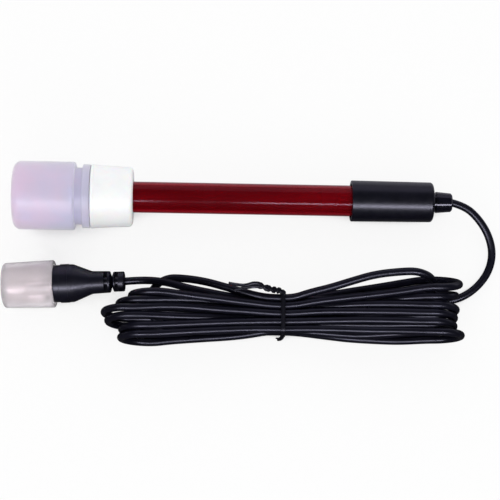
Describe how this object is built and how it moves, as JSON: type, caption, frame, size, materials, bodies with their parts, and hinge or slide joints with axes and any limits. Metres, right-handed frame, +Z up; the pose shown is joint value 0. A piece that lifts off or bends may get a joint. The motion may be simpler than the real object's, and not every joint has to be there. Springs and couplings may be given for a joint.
{
  "type": "redox electrode",
  "caption": "Redox electrode with a red shaft in its screw-capped storage bottle, a black head, a tied hank of cable and a capped bayonet plug.",
  "frame": {"origin": "on the surface that the electrode lies on, under the middle of the electrode and its bottle", "axes": "+X along the electrode from its tip to its cable end, +Z up, +Y away from the hank of cable"},
  "size_m": [0.192, 0.0702, 0.0272],
  "materials": {
    "red_polycarbonate": "clear deep red moulding, glossy",
    "clear_glass": "clear tube glass",
    "platinum": "polished",
    "silver_wire": "dull drawn wire",
    "signal_conductor": "tinned",
    "porous_white": "matte, porous",
    "electrolyte": "cloudy gel",
    "clear_silicone": "soft, translucent",
    "black_head": "fine satin",
    "resin": "cast",
    "black_gland": "glossy",
    "cable_jacket": "glossy soft jacket",
    "tie_jacket": "thin jacket over a wire",
    "boot_black": "satin moulded",
    "bottle_frosted": "frosted, translucent",
    "cap_white": "satin white",
    "gasket_grey": "soft",
    "nickel": "nickel plate, satin",
    "gold": "plated",
    "ptfe": "waxy white",
    "cover_smoke": "smoky, translucent"
  },
  "bodies": {
    "electrode": {"body_tube": "red_polycarbonate", "sensor_stem": "clear_glass", "platinum_disc": "platinum", "signal_wire": "signal_conductor", "junction_ring": "porous_white", "reference_wire": "silver_wire", "electrolyte_gel": "electrolyte", "stem_spacer": "clear_silicone", "seal_plug": "clear_silicone", "head_cap": "black_head", "head_potting": "resin", "cable_gland": "black_gland", "lead_cable": "cable_jacket", "cable_hank": "cable_jacket", "plug_cable": "cable_jacket", "hank_tie": "tie_jacket", "plug_body": "nickel", "wave_washer": "nickel", "plug_insulator": "ptfe", "plug_pin": "gold", "plug_gasket": "gasket_grey", "crimp_ferrule": "nickel", "plug_boot": "boot_black"},
    "seal": {"bottle_gasket": "gasket_grey"},
    "cap": {"bottle_cap": "cap_white"},
    "bottle": {"storage_bottle": "bottle_frosted"},
    "thrust": {"thrust_washer": "nickel"},
    "nut": {"coupling_nut": "nickel"},
    "cover": {"dust_cover": "cover_smoke"}
  },
  "joints": [
    {"name": "gasket_slide", "type": "slide", "parent": "electrode", "child": "seal", "axis": [-0.9992, 0, 0.0394], "range_m": [0, 0.06]},
    {"name": "cap_turn", "type": "hinge", "parent": "seal", "child": "cap", "pos_m": [-0.04088, 0, 0.01237], "axis": [0.9992, 0, -0.0394], "range_deg": [0, 722]},
    {"name": "bottle_advance", "type": "slide", "parent": "seal", "child": "bottle", "axis": [-0.9992, 0, 0.0394], "range_m": [0, 0.006]},
    {"name": "nut_float", "type": "slide", "parent": "electrode", "child": "thrust", "axis": [-0.9989, -0.0384, -0.0279], "range_m": [0, 0.001], "stiffness_N_per_m": 2000, "deforming": ["wave_washer"]},
    {"name": "nut_turn", "type": "hinge", "parent": "thrust", "child": "nut", "pos_m": [-0.07279, -0.03402, 0.00902], "axis": [-0.9989, -0.0384, -0.0279], "continuous": true},
    {"name": "cover_pull", "type": "slide", "parent": "nut", "child": "cover", "axis": [-0.9989, -0.0384, -0.0279], "range_m": [0, 0.025]}
  ],
  "couplings": [
    {"joint": "cap_turn", "follows": "bottle_advance", "rad_per_m": 2094.4}
  ]
}
